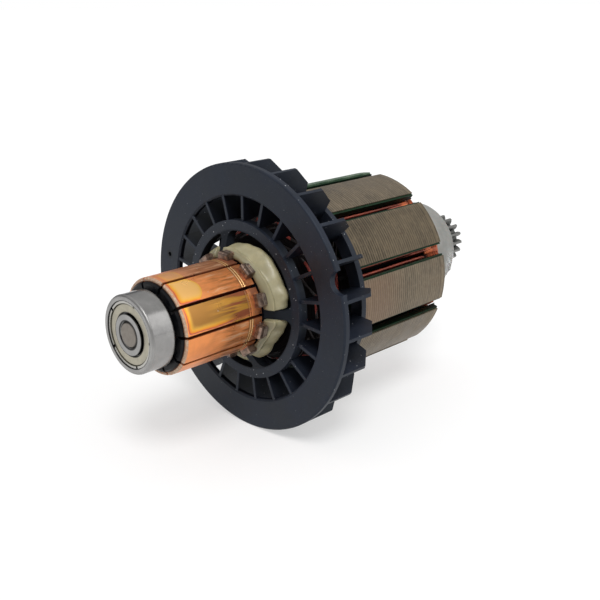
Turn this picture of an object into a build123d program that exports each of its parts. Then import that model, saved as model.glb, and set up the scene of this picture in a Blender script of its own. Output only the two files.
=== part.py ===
"""Armature of a small brushed motor: shaft, ball bearing, commutator, fan, wound core and pinion.

Millimetres. X runs along the shaft from the bearing towards the pinion and Z is up.
The origin is on the shaft axis at the middle of the bearing's width.
Angles round the shaft are in degrees, from +Y towards +Z.
"""

import os
from math import acos, cos, pi, radians, sin, tan

from build123d import *

os.makedirs("parts", exist_ok=True)

# Ball bearing, a standard 4 x 12 x 4 mm size with two pressed shields
bearing_bore_radius = 2.0
bearing_outer_radius = 6.0
bearing_width = 4.0
bearing_corner_radius = 0.35
bore_chamfer = 0.15
ball_count = 7
ball_radius = 0.794
ball_pitch_radius = 4.0
groove_radius = 0.82
outer_land_radius = 4.6
inner_land_radius = 3.45
inner_face_radius = 3.15
inner_step_depth = 0.55
shield_seat_radius = 5.1
shield_seat_depth = 0.5
shield_thickness = 0.2
shield_bore_radius = 3.35
shield_fit_clearance = 0.02
crimp_inner_radius = 4.7
crimp_height = 0.35
crimp_notch_count = 5
crimp_notch_width = 0.45
crimp_notch_angle = 37.6
cage_inner_radius = 3.62
cage_outer_radius = 4.38
cage_half_width = 1.25
cage_pocket_radius = 0.86

# Shaft
shaft_radius = 2.5
shaft_chamfer = 0.25
shaft_end_beyond_pinion = 0.5

# Commutator
bar_count = 10
bar_outer_radius = 7.48
bar_inner_radius = 5.9
bar_front_x = 2.8
bar_end_x = 17.3
bar_chamfer = 0.25
slot_width = 0.5
slot_depth_in_moulding = 0.3
moulding_front_x = 2.4
moulding_end_x = 19.6
flange_radius = 6.85
flange_length = 0.9
ring_groove_x = 15.2
ring_groove_spacing = 0.4
ring_groove_width = 0.14
ring_groove_depth = 0.08
hook_front_x = 16.1
hook_length = 1.6
hook_width = 2.1
hook_base_radius = 7.3
hook_top_radius = 8.6
hook_bend_radius = 0.7
hook_tip_radius = 0.4

# Resin beads over the wire ends behind the commutator
bead_front_x = 17.4
bead_rear_x = 21.4
bead_inner_radius = 7.5
bead_front_edge_radius = 7.9
bead_ridge_x = 18.1
bead_ridge_radius = 8.9
bead_crown_x = 19.6
bead_crown_radius = 10.2
bead_shoulder_x = 20.8
bead_shoulder_radius = 9.7
bead_rear_edge_radius = 8.6
bead_clearance = 0.05

# Fan
blade_count = 23
blade_first_angle = 153.3
blade_thickness = 0.52
blade_rear_x = 29.4
blade_chamfer_x = 26.3
blade_rear_radius = 19.2
blade_inner_rear_radius = 14.85
disc_front_x = 20.2
disc_thickness = 1.0
disc_rim_rounding = 0.3
fan_radius = 21.9
window_outer_radius = 16.75
window_inner_radius = 12.96
window_chamfer = 0.3
fan_ring_inner_radius = 11.3
fan_ring_front_x = 19.9
fan_ring_length = 1.7
rear_ring_thickness = 1.0
rear_ring_outer_radius = 17.1
fan_hub_outer_radius = 7.4
arm_angles = (0, 72, 180, 252)
arm_width = 1.5
arm_front_x = 17.8
arm_fillet = 1.0
rim_notch_radius = 1.8
rim_notch_angle = 161.1
pip_hole_radius = 0.4
pip_hole_at_radius = 19.2
pip_hole_angle = 12.1

# Laminated core with its insulating coat
tooth_count = 10
core_radius = 16.0
core_front_x = 31.5
lamination_stack_length = 19.9
end_lamination_thickness = 0.9
slot_opening = 2.36
slot_floor_radius = 7.3
slot_floor_rounding = 0.4
tooth_web_width = 3.4
tooth_tip_thickness = 1.1
tooth_head_slope_depth = 0.7
coat_thickness = 0.35
coat_front_thickness = 0.5
coat_rear_thickness = 0.4
coat_edge_inset = 0.25
coat_rear_inset = 1.2

# Winding, one enamelled wire laid in all the slots
wire_fit_clearance = 0.02
slot_fill_depth = 1.8
slot_fill_gap = 0.7
slot_fill_gap_depth = 2.4
bundle_crest_offset = 1.1
bundle_inner_depth = 2.1
bundle_outer_depth = 2.8
bundle_outer_offset = 2.4
front_slope_length = 1.6
rear_slope_length = 1.0
front_overhang_x = 22.8
front_overhang_radius = 8.6
overhang_bore_radius = 3.0
overhang_core_radius = 12.6
front_swell_x = 26.0
front_swell_radius = 11.5
rear_swell_x = 56.0
rear_swell_radius = 11.7
lead_radius = 0.35
lead_at_radius = 7.95
rear_overhang_end_x = 58.3

# End collar between the winding and the pinion
collar_length = 7.7
collar_front_radius = 10.0
collar_waist_x = 62.0
collar_waist_radius = 9.2
collar_end_radius = 8.3
collar_end_rounding = 0.5

# Pinion
pinion_teeth = 17
pinion_module = 0.5
pinion_front_x = 66.4
pinion_length = 6.8
pinion_tooth_angle = 157.0
pinion_root_radius = 3.6
pressure_angle = radians(20)

# Places worked out from the sizes above
bearing_face = bearing_width / 2
shoulder_x = bearing_face
pinion_end_x = pinion_front_x + pinion_length
shaft_end_x = pinion_end_x + shaft_end_beyond_pinion
shield_inner_x = bearing_face - shield_seat_depth
shield_outer_x = shield_inner_x + shield_thickness
crimp_outer_x = shield_inner_x + crimp_height
bar_pitch = 360 / bar_count
hook_end_x = hook_front_x + hook_length
disc_rear_x = disc_front_x + disc_thickness
weld = blade_thickness / 4
fan_ring_rear_x = fan_ring_front_x + fan_ring_length
tooth_pitch = 360 / tooth_count
core_rear_x = core_front_x + lamination_stack_length
stack_rear_x = core_rear_x + end_lamination_thickness
tooth_head_root_radius = core_radius - tooth_tip_thickness - tooth_head_slope_depth
coat_front_x = core_front_x - coat_front_thickness
coat_rear_x = stack_rear_x + coat_rear_thickness
coat_rear_radius = core_radius - coat_rear_inset
slot_fill_radius = core_radius - slot_fill_depth
bundle_inner_radius = core_radius - bundle_inner_depth
bundle_outer_radius = core_radius - bundle_outer_depth
collar_end_x = rear_overhang_end_x + collar_length


def radial_plane(angle):
    """Plane through the shaft axis whose local y points outwards at this angle."""
    turn = radians(angle)
    return Plane(origin=(0, 0, 0), x_dir=(1, 0, 0), z_dir=(0, -sin(turn), cos(turn)))


def polar(radius, angle):
    """Local point of a cross-section plane, at this radius and this angle in degrees."""
    return (radius * cos(radians(angle)), radius * sin(radians(angle)))


def wedge(first_angle, last_angle, setback):
    """Corners of the wedge between two rays from the axis, set back from both rays."""
    half_span = (last_angle - first_angle) / 2
    middle = (first_angle + last_angle) / 2
    reach = 3 * fan_radius
    tip = polar(setback / sin(radians(half_span)), middle)
    first = polar(reach, first_angle)
    last = polar(reach, last_angle)
    return [tip, (tip[0] + first[0], tip[1] + first[1]), (tip[0] + last[0], tip[1] + last[1])]


# Shaft: a ground journal for the bearing, then a thicker body up to the pinion
with BuildPart() as shaft:
    with BuildSketch(Plane.XZ):
        with BuildLine():
            Polyline(
                (-bearing_face, 0),
                (-bearing_face, bearing_bore_radius - shaft_chamfer),
                (-bearing_face + shaft_chamfer, bearing_bore_radius),
                (shoulder_x, bearing_bore_radius),
                (shoulder_x, shaft_radius),
                (shaft_end_x - shaft_chamfer, shaft_radius),
                (shaft_end_x, shaft_radius - shaft_chamfer),
                (shaft_end_x, 0),
                close=True,
            )
        make_face()
    revolve(axis=Axis.X)
shaft.part.label = "shaft"
export_step(shaft.part, "parts/shaft.step")

# Outer ring: a ball groove in the middle and a shield seat at each face
with BuildPart() as bearing_outer_ring:
    with BuildSketch(Plane.XZ) as outer_section:
        ring_wall = bearing_outer_radius - outer_land_radius
        with Locations((0, bearing_outer_radius - ring_wall / 2)):
            Rectangle(bearing_width, ring_wall)
        fillet(outer_section.vertices().group_by(Axis.Y)[-1], bearing_corner_radius)
        seat_height = shield_seat_radius - outer_land_radius
        for side in (-1, 1):
            seat_middle = side * (bearing_face - shield_seat_depth / 2)
            with Locations((seat_middle, outer_land_radius + seat_height / 2)):
                Rectangle(shield_seat_depth, seat_height, mode=Mode.SUBTRACT)
        with Locations((0, ball_pitch_radius)):
            Circle(groove_radius, mode=Mode.SUBTRACT)
    revolve(axis=Axis.X)
bearing_outer_ring.part.label = "bearing_outer_ring"
export_step(bearing_outer_ring.part, "parts/bearing_outer_ring.step")

# Inner ring: stepped down at each face so that the shields clear it
with BuildPart() as bearing_inner_ring:
    with BuildSketch(Plane.XZ):
        inner_step_x = bearing_face - inner_step_depth
        with BuildLine():
            Polyline(
                (-bearing_face, bearing_bore_radius + bore_chamfer),
                (-bearing_face + bore_chamfer, bearing_bore_radius),
                (bearing_face - bore_chamfer, bearing_bore_radius),
                (bearing_face, bearing_bore_radius + bore_chamfer),
                (bearing_face, inner_face_radius),
                (inner_step_x, inner_face_radius),
                (inner_step_x, inner_land_radius),
                (-inner_step_x, inner_land_radius),
                (-inner_step_x, inner_face_radius),
                (-bearing_face, inner_face_radius),
                close=True,
            )
        make_face()
        with Locations((0, ball_pitch_radius)):
            Circle(groove_radius, mode=Mode.SUBTRACT)
    revolve(axis=Axis.X)
bearing_inner_ring.part.label = "bearing_inner_ring"
export_step(bearing_inner_ring.part, "parts/bearing_inner_ring.step")

# Balls, evenly spaced on the pitch circle
for ball in range(ball_count):
    ball_y, ball_z = polar(ball_pitch_radius, ball * 360 / ball_count)
    with BuildPart() as bearing_ball:
        with Locations((0, ball_y, ball_z)):
            Sphere(ball_radius)
    bearing_ball.part.label = f"bearing_ball_{ball + 1}"
    export_step(bearing_ball.part, f"parts/bearing_ball_{ball + 1}.step")

# Cage: a ring with a round pocket for each ball
with BuildPart() as bearing_cage:
    with BuildSketch(Plane.YZ.offset(-cage_half_width)):
        Circle(cage_outer_radius)
        Circle(cage_inner_radius, mode=Mode.SUBTRACT)
    extrude(amount=2 * cage_half_width)
    for ball in range(ball_count):
        ball_y, ball_z = polar(ball_pitch_radius, ball * 360 / ball_count)
        with Locations((0, ball_y, ball_z)):
            Sphere(cage_pocket_radius, mode=Mode.SUBTRACT)
bearing_cage.part.label = "bearing_cage"
export_step(bearing_cage.part, "parts/bearing_cage.step")

# Shields: a thin plate with a crimped rim, notched so that it springs into the seat
for shield_name, side in (("bearing_front_shield", -1), ("bearing_rear_shield", 1)):
    with BuildPart() as bearing_shield:
        with BuildSketch(Plane.XZ):
            with BuildLine():
                Polyline(
                    (side * shield_inner_x, shield_bore_radius),
                    (side * shield_outer_x, shield_bore_radius),
                    (side * shield_outer_x, crimp_inner_radius),
                    (side * crimp_outer_x, crimp_inner_radius),
                    (side * crimp_outer_x, shield_seat_radius - shield_fit_clearance),
                    (side * shield_inner_x, shield_seat_radius - shield_fit_clearance),
                    close=True,
                )
            make_face()
        revolve(axis=Axis.X)
        with BuildSketch(Plane.YZ.offset(side * shield_outer_x)):
            with PolarLocations(shield_seat_radius, crimp_notch_count, start_angle=crimp_notch_angle):
                Rectangle(4 * (shield_seat_radius - crimp_inner_radius), crimp_notch_width)
        extrude(amount=side * crimp_height, mode=Mode.SUBTRACT)
    bearing_shield.part.label = shield_name
    export_step(bearing_shield.part, f"parts/{shield_name}.step")

# Commutator moulding: a sleeve with a front flange, nicked where the bar slots were cut
with BuildPart() as commutator_moulding:
    with BuildSketch(Plane.XZ):
        with BuildLine():
            Polyline(
                (moulding_front_x, shaft_radius),
                (moulding_front_x, flange_radius - bar_chamfer),
                (moulding_front_x + bar_chamfer, flange_radius),
                (moulding_front_x + flange_length, flange_radius),
                (moulding_front_x + flange_length, bar_inner_radius),
                (moulding_end_x, bar_inner_radius),
                (moulding_end_x, shaft_radius),
                close=True,
            )
        make_face()
    revolve(axis=Axis.X)
    with BuildSketch(Plane.YZ.offset(moulding_front_x)):
        nick_floor = bar_inner_radius - slot_depth_in_moulding
        nick_height = bar_outer_radius - nick_floor
        with PolarLocations(nick_floor + nick_height / 2, bar_count):
            Rectangle(nick_height, slot_width)
    extrude(amount=bar_end_x - moulding_front_x, mode=Mode.SUBTRACT)
commutator_moulding.part.label = "commutator_moulding"
export_step(commutator_moulding.part, "parts/commutator_moulding.step")

# Commutator bars: copper segments with two fine turned grooves and a fused hook for the wire
for bar in range(bar_count):
    with BuildPart() as commutator_bar:
        with BuildSketch(Plane.XZ):
            with BuildLine():
                Polyline(
                    (bar_front_x, flange_radius),
                    (bar_front_x, bar_outer_radius - bar_chamfer),
                    (bar_front_x + bar_chamfer, bar_outer_radius),
                    (bar_end_x, bar_outer_radius),
                    (bar_end_x, bar_inner_radius),
                    (moulding_front_x + flange_length, bar_inner_radius),
                    (moulding_front_x + flange_length, flange_radius),
                    close=True,
                )
            make_face()
            for side in (-1, 1):
                with Locations((ring_groove_x + side * ring_groove_spacing / 2, bar_outer_radius)):
                    Rectangle(ring_groove_width, 2 * ring_groove_depth, mode=Mode.SUBTRACT)
        revolve(axis=Axis.X)
        with BuildSketch(Plane.YZ):
            with BuildLine():
                Polyline(*wedge(bar * bar_pitch, (bar + 1) * bar_pitch, slot_width / 2), close=True)
            make_face()
        extrude(amount=bar_end_x, mode=Mode.INTERSECT)
        with BuildSketch(radial_plane((bar + 0.5) * bar_pitch)) as hook_section:
            hook_height = hook_top_radius - hook_base_radius
            with Locations((hook_front_x + hook_length / 2, hook_base_radius + hook_height / 2)):
                Rectangle(hook_length, hook_height)
            fillet(hook_section.vertices().sort_by(Axis.X)[-2:].sort_by(Axis.Y)[-1], hook_bend_radius)
            fillet(hook_section.vertices().sort_by(Axis.X)[:2].sort_by(Axis.Y)[-1], hook_tip_radius)
        extrude(amount=hook_width / 2, both=True)
    commutator_bar.part.label = f"commutator_bar_{bar + 1}"
    export_step(commutator_bar.part, f"parts/commutator_bar_{bar + 1}.step")

# Resin beads: one flowed ring of resin over the wire ends, parted by the fan's arms
for bead, first_angle in enumerate(arm_angles):
    last_angle = (arm_angles + (arm_angles[0] + 360,))[bead + 1]
    with BuildPart() as resin_bead:
        with BuildSketch(Plane.XZ):
            with BuildLine():
                Line((bead_rear_x, bead_inner_radius), (bead_front_x, bead_inner_radius))
                Line((bead_front_x, bead_inner_radius), (bead_front_x, bead_front_edge_radius))
                Spline(
                    (bead_front_x, bead_front_edge_radius),
                    (bead_ridge_x, bead_ridge_radius),
                    (bead_crown_x, bead_crown_radius),
                    (bead_shoulder_x, bead_shoulder_radius),
                    (bead_rear_x, bead_rear_edge_radius),
                )
                Line((bead_rear_x, bead_rear_edge_radius), (bead_rear_x, bead_inner_radius))
            make_face()
        revolve(axis=Axis.X)
        with BuildSketch(Plane.YZ.offset(bead_front_x)):
            with BuildLine():
                Polyline(*wedge(first_angle, last_angle, arm_width / 2 + bead_clearance), close=True)
            make_face()
        extrude(amount=bead_rear_x - bead_front_x, mode=Mode.INTERSECT)
        # Room for the hooks and for the leads that run back from them
        with BuildSketch(Plane.YZ.offset(bead_front_x)):
            with PolarLocations(hook_top_radius, bar_count, start_angle=bar_pitch / 2):
                Rectangle(2 * hook_length, hook_width + 2 * bead_clearance)
        extrude(amount=hook_end_x + bead_clearance - bead_front_x, mode=Mode.SUBTRACT)
        with BuildSketch(Plane.YZ.offset(bead_front_x)):
            with PolarLocations(lead_at_radius, bar_count, start_angle=bar_pitch / 2):
                Circle(lead_radius + bead_clearance)
        extrude(amount=bead_rear_x - bead_front_x, mode=Mode.SUBTRACT)
    resin_bead.part.label = f"resin_bead_{bead + 1}"
    export_step(resin_bead.part, f"parts/resin_bead_{bead + 1}.step")

# Fan: a hub on four arms, a windowed disc, radial blades and a flat rear ring, moulded as one
with BuildPart() as fan:
    # Hub, arms and inner ring: their outline seen along the shaft, trimmed to their side view
    with BuildSketch(Plane.YZ.offset(arm_front_x)) as spider:
        Circle(window_inner_radius)
        Circle(fan_ring_inner_radius, mode=Mode.SUBTRACT)
        Circle(fan_hub_outer_radius)
        Circle(bar_inner_radius, mode=Mode.SUBTRACT)
        for arm_angle in arm_angles:
            arm_middle = (fan_hub_outer_radius + fan_ring_inner_radius) / 2
            arm_reach = fan_ring_inner_radius - fan_hub_outer_radius + 2 * weld
            with Locations(Location(polar(arm_middle, arm_angle) + (0,), (0, 0, arm_angle))):
                Rectangle(arm_reach, arm_width)
        ring_edge = fan_ring_inner_radius
        fillet([v for v in spider.vertices() if abs(Vector(v).length - ring_edge) < weld / 4], arm_fillet)
    extrude(amount=fan_ring_rear_x - arm_front_x)
    with BuildSketch(Plane.XZ):
        with BuildLine():
            Polyline(
                (arm_front_x, 0),
                (arm_front_x, fan_hub_outer_radius),
                (fan_ring_front_x, fan_ring_inner_radius),
                (fan_ring_front_x, window_inner_radius),
                (fan_ring_rear_x, window_inner_radius),
                (fan_ring_rear_x, fan_ring_inner_radius),
                (moulding_end_x, fan_hub_outer_radius),
                (moulding_end_x, 0),
                close=True,
            )
        make_face()
    revolve(axis=Axis.X, mode=Mode.INTERSECT)
    with BuildSketch(Plane.XZ):
        # Disc with a rounded rim and a small chamfer at the windows
        with BuildLine():
            Polyline(
                (disc_front_x, fan_radius - disc_rim_rounding),
                (disc_front_x, window_outer_radius + window_chamfer),
                (disc_front_x + window_chamfer, window_outer_radius),
                (disc_rear_x, window_outer_radius),
                (disc_rear_x, fan_radius),
                (disc_front_x + disc_rim_rounding, fan_radius),
            )
            RadiusArc(
                (disc_front_x + disc_rim_rounding, fan_radius),
                (disc_front_x, fan_radius - disc_rim_rounding),
                -disc_rim_rounding,
            )
        make_face()
        # Flat ring along the rear of the blades
        rear_width = rear_ring_outer_radius - blade_inner_rear_radius
        with Locations(
            (blade_rear_x + rear_ring_thickness / 2, blade_inner_rear_radius + rear_width / 2)
        ):
            Rectangle(rear_ring_thickness, rear_width)
    revolve(axis=Axis.X)
    for blade in range(blade_count):
        with BuildSketch(radial_plane(blade_first_angle - blade * 360 / blade_count)):
            with BuildLine():
                Polyline(
                    (disc_front_x + weld, window_inner_radius - weld),
                    (disc_front_x + weld, fan_radius - disc_rim_rounding),
                    (disc_rear_x - weld, fan_radius),
                    (blade_chamfer_x, fan_radius),
                    (blade_rear_x, blade_rear_radius),
                    (blade_rear_x, rear_ring_outer_radius - weld),
                    (blade_rear_x + weld, rear_ring_outer_radius - weld),
                    (blade_rear_x + weld, blade_inner_rear_radius + weld),
                    (blade_rear_x, blade_inner_rear_radius),
                    (fan_ring_rear_x, window_inner_radius - weld),
                    close=True,
                )
            make_face()
        extrude(amount=blade_thickness / 2, both=True)
    with BuildSketch(Plane.YZ.offset(disc_front_x)):
        with Locations(polar(fan_radius, rim_notch_angle)):
            Circle(rim_notch_radius)
        with Locations(polar(pip_hole_at_radius, pip_hole_angle)):
            Circle(pip_hole_radius)
    extrude(amount=disc_thickness, mode=Mode.SUBTRACT)
fan.part.label = "fan"
export_step(fan.part, "parts/fan.step")

# Slot of the core, lying along local x: a narrow mouth between two tooth heads
with BuildSketch() as slot_shape:
    half_pitch = radians(tooth_pitch / 2)

    def web_edge(radius):
        """Half width of the slot between two parallel-sided tooth webs."""
        return radius * tan(half_pitch) - tooth_web_width / 2 / cos(half_pitch)

    mouth_end = 1.5 * core_radius
    mouth_root = core_radius - tooth_tip_thickness
    with BuildLine():
        Polyline(
            (mouth_end, slot_opening / 2),
            (mouth_root, slot_opening / 2),
            (tooth_head_root_radius, web_edge(tooth_head_root_radius)),
            (slot_floor_radius, web_edge(slot_floor_radius)),
            (slot_floor_radius, -web_edge(slot_floor_radius)),
            (tooth_head_root_radius, -web_edge(tooth_head_root_radius)),
            (mouth_root, -slot_opening / 2),
            (mouth_end, -slot_opening / 2),
            close=True,
        )
    make_face()
    fillet(slot_shape.vertices().group_by(Axis.X)[0], slot_floor_rounding)

# The same slot inside its coat, and the room that the wire fills
with BuildSketch() as coated_slot_shape:
    add(slot_shape.sketch)
    offset(amount=-coat_thickness, kind=Kind.INTERSECTION, mode=Mode.REPLACE)

with BuildSketch() as wire_room_shape:
    add(coated_slot_shape.sketch)
    offset(amount=-wire_fit_clearance, kind=Kind.INTERSECTION, mode=Mode.REPLACE)
    with BuildLine():
        Polyline(
            (0, -core_radius),
            (bundle_outer_radius, -core_radius),
            (bundle_outer_radius, -bundle_outer_offset),
            (slot_fill_radius, -bundle_crest_offset),
            (bundle_inner_radius, 0),
            (slot_fill_radius, bundle_crest_offset),
            (bundle_outer_radius, bundle_outer_offset),
            (bundle_outer_radius, core_radius),
            (0, core_radius),
            close=True,
        )
    make_face(mode=Mode.INTERSECT)
    with Locations((slot_fill_radius, 0)):
        Rectangle(2 * slot_fill_gap_depth, slot_fill_gap, mode=Mode.SUBTRACT)

# Core: thin steel laminations stacked on the shaft, and the thicker one that ends the stack
for stack_name, stack_x, stack_length in (
    ("core_laminations", core_front_x, lamination_stack_length),
    ("rear_end_lamination", core_rear_x, end_lamination_thickness),
):
    with BuildPart() as lamination_stack:
        with BuildSketch(Plane.YZ.offset(stack_x)):
            Circle(core_radius)
            with PolarLocations(0, tooth_count, start_angle=tooth_pitch / 2):
                add(slot_shape.sketch, mode=Mode.SUBTRACT)
            Circle(shaft_radius, mode=Mode.SUBTRACT)
        extrude(amount=stack_length)
    lamination_stack.part.label = stack_name
    export_step(lamination_stack.part, f"parts/{stack_name}.step")

# Insulating coat: a skin over both end faces, joined by the linings of the slots
with BuildPart() as core_insulation_coat:
    for plate_x, plate_thickness, plate_radius in (
        (coat_front_x, coat_front_thickness, core_radius - coat_edge_inset),
        (stack_rear_x, coat_rear_thickness, coat_rear_radius),
    ):
        with BuildSketch(Plane.YZ.offset(plate_x)):
            Circle(plate_radius)
            with PolarLocations(0, tooth_count, start_angle=tooth_pitch / 2):
                add(coated_slot_shape.sketch, mode=Mode.SUBTRACT)
            Circle(shaft_radius, mode=Mode.SUBTRACT)
        extrude(amount=plate_thickness)
    with BuildSketch(Plane.YZ.offset(core_front_x)):
        with PolarLocations(0, tooth_count, start_angle=tooth_pitch / 2):
            add(slot_shape.sketch)
        with PolarLocations(0, tooth_count, start_angle=tooth_pitch / 2):
            add(coated_slot_shape.sketch, mode=Mode.SUBTRACT)
        Circle(core_radius - coat_edge_inset, mode=Mode.INTERSECT)
    extrude(amount=stack_rear_x - core_front_x)
core_insulation_coat.part.label = "core_insulation_coat"
export_step(core_insulation_coat.part, "parts/core_insulation_coat.step")

# Winding: wire filling every slot, the crossings at both ends, and a lead to each bar
with BuildPart() as armature_winding:
    with BuildSketch(Plane.YZ.offset(coat_front_x - front_slope_length)):
        with PolarLocations(0, tooth_count, start_angle=tooth_pitch / 2):
            add(wire_room_shape.sketch)
    extrude(amount=coat_rear_x + rear_slope_length - coat_front_x + front_slope_length)
    # The wires slope down from the slots on to the crossings
    with BuildSketch(Plane.XZ):
        with BuildLine():
            Polyline(
                (coat_front_x - front_slope_length, 0),
                (coat_front_x - front_slope_length, overhang_core_radius - wire_fit_clearance),
                (coat_front_x, core_radius),
                (coat_rear_x, core_radius),
                (coat_rear_x + rear_slope_length, overhang_core_radius - wire_fit_clearance),
                (coat_rear_x + rear_slope_length, 0),
                close=True,
            )
        make_face()
    revolve(axis=Axis.X, mode=Mode.INTERSECT)
    with BuildSketch(Plane.XZ):
        with BuildLine():
            Spline(
                (front_overhang_x, front_overhang_radius),
                (front_swell_x, front_swell_radius),
                (coat_front_x, overhang_core_radius),
            )
            Polyline(
                (coat_front_x, overhang_core_radius),
                (coat_front_x, overhang_bore_radius),
                (front_overhang_x, overhang_bore_radius),
                (front_overhang_x, front_overhang_radius),
            )
        make_face()
        with BuildLine():
            Spline(
                (coat_rear_x, overhang_core_radius),
                (rear_swell_x, rear_swell_radius),
                (rear_overhang_end_x, collar_front_radius),
            )
            Polyline(
                (rear_overhang_end_x, collar_front_radius),
                (rear_overhang_end_x, overhang_bore_radius),
                (coat_rear_x, overhang_bore_radius),
                (coat_rear_x, overhang_core_radius),
            )
        make_face()
    revolve(axis=Axis.X)
    with BuildSketch(Plane.YZ.offset(hook_end_x)):
        with PolarLocations(lead_at_radius, bar_count, start_angle=bar_pitch / 2):
            Circle(lead_radius)
    extrude(amount=front_overhang_x - hook_end_x)
armature_winding.part.label = "armature_winding"
export_step(armature_winding.part, "parts/armature_winding.step")

# End collar: a moulded sleeve that tapers from the winding to the pinion
with BuildPart() as end_collar:
    with BuildSketch(Plane.XZ) as collar_section:
        with BuildLine():
            Polyline(
                (rear_overhang_end_x, shaft_radius),
                (rear_overhang_end_x, collar_front_radius),
                (collar_waist_x, collar_waist_radius),
                (collar_end_x, collar_end_radius),
                (collar_end_x, shaft_radius),
                close=True,
            )
        make_face()
        fillet(collar_section.vertices().group_by(Axis.X)[-1].sort_by(Axis.Y)[-1], collar_end_rounding)
    revolve(axis=Axis.X)
end_collar.part.label = "end_collar"
export_step(end_collar.part, "parts/end_collar.step")

# Gap between two pinion teeth, lying along local x, with involute flanks drawn as arcs
pitch_radius = pinion_module * pinion_teeth / 2
base_radius = pitch_radius * cos(pressure_angle)
tip_radius = pitch_radius + pinion_module


def gap_half_angle(radius):
    """Half the angle of the gap between two teeth at this radius, in degrees."""
    at_radius = acos(base_radius / max(radius, base_radius))
    roll = tan(at_radius) - at_radius - tan(pressure_angle) + pressure_angle
    return (pi / (2 * pinion_teeth) + roll) * 180 / pi


with BuildSketch() as tooth_gap_shape:
    outer = tip_radius + pinion_module / 2
    with BuildLine():
        for hand in (-1, 1):
            ThreePointArc(
                polar(outer, hand * gap_half_angle(outer)),
                polar(pitch_radius, hand * gap_half_angle(pitch_radius)),
                polar(base_radius, hand * gap_half_angle(base_radius)),
            )
            Line(
                polar(base_radius, hand * gap_half_angle(base_radius)),
                polar(pinion_root_radius, hand * gap_half_angle(base_radius)),
            )
        for radius, edge_angle in ((outer, gap_half_angle(outer)), (pinion_root_radius, gap_half_angle(0))):
            Line(polar(radius, -edge_angle), polar(radius, edge_angle))
    make_face()

# Pinion, pressed on the shaft's end
with BuildPart() as pinion:
    with BuildSketch(Plane.YZ.offset(pinion_front_x)):
        Circle(tip_radius)
        gap_angle = pinion_tooth_angle + 180 / pinion_teeth
        with PolarLocations(0, pinion_teeth, start_angle=gap_angle):
            add(tooth_gap_shape.sketch, mode=Mode.SUBTRACT)
        Circle(shaft_radius, mode=Mode.SUBTRACT)
    extrude(amount=pinion_length)
pinion.part.label = "pinion"
export_step(pinion.part, "parts/pinion.step")
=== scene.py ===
"""Looks of a motor armature: bearing, commutator, flowed resin, fan, wound core, collar and pinion.

Metres, X along the shaft and Z up. Lengths inside the functions are written in millimetres and scaled by MM.
Angles round the shaft are in degrees, from +Y towards +Z.
"""

from math import asin, cos, degrees, exp, pi, radians, sin

import bmesh
import bpy
from mathutils import Matrix, Vector, noise


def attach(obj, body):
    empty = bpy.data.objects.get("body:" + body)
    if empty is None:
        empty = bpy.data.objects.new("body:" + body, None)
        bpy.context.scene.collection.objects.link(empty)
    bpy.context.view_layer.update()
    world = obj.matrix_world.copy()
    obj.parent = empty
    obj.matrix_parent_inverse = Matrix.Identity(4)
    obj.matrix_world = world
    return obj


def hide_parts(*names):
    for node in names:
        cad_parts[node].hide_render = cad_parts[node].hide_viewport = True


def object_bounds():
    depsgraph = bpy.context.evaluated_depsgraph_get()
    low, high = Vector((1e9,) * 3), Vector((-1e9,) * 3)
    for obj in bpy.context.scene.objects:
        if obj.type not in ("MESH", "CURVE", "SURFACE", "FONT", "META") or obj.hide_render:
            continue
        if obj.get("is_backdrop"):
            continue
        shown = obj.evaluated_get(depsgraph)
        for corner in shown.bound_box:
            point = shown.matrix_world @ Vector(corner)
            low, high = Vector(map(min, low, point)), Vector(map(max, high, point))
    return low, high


bl_info = {
    "name": "Motor Armature Looks",
    "version": (1, 0, 0),
    "blender": (4, 5, 0),
    "location": "View3D > Sidebar > Armature",
    "description": "Dresses the frame of a motor armature with its wires, resin, finishes and studio",
    "category": "Object",
}

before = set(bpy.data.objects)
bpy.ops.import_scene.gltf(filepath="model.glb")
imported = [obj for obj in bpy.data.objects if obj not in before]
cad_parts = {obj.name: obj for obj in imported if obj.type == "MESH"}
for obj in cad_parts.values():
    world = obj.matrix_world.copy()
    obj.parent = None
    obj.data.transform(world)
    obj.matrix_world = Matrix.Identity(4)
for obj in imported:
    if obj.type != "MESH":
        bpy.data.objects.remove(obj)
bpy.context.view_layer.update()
MM = 0.001
ROTOR = "rotor"
BAR_COUNT = 10
BAR_SURFACE = 7.48
SLOT_COUNT = 10


# Settings

def length_setting(name, description, default, least, most):
    """A length that the user can change, from millimetres."""
    return bpy.props.FloatProperty(
        name=name, description=description, default=default * MM, min=least * MM, max=most * MM,
        unit="LENGTH", subtype="DISTANCE")


def colour_setting(name, description, default):
    """A colour that the user can change."""
    return bpy.props.FloatVectorProperty(
        name=name, description=description, default=default, size=3, min=0.0, max=1.0, subtype="COLOR")


class ArmatureSizes(bpy.types.PropertyGroup):
    wire_diameter: length_setting("Wire Diameter", "Thickness of one enamelled wire", 0.52, 0.2, 1.2)
    resin_lumps: length_setting("Resin Lumps", "How far the flowed resin swells and sinks", 0.14, 0.0, 0.5)
    collar_chips: length_setting("Collar Chips", "Depth of the rough patches on the collar's rear edge", 0.22, 0.0, 0.6)


class ArmatureColours(bpy.types.PropertyGroup):
    copper: colour_setting("Copper", "Bare copper of the commutator bars", (0.93, 0.325, 0.105))
    resin: colour_setting("Resin", "Cream resin over the wire ends", (0.385, 0.345, 0.205))
    fan: colour_setting("Fan", "Dark plastic of the fan", (0.011, 0.0142, 0.0235))
    core: colour_setting("Core", "Turned edges of the laminations", (0.165, 0.132, 0.09))
    coat: colour_setting("Coat", "Green insulating coat of the core", (0.007, 0.026, 0.012))
    wire: colour_setting("Wire", "Enamelled copper wire", (0.42, 0.085, 0.048))
    collar: colour_setting("Collar", "Light grey plastic of the end collar", (0.27, 0.268, 0.25))
    steel: colour_setting("Steel", "Ground steel of the bearing", (0.32, 0.315, 0.308))


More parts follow.
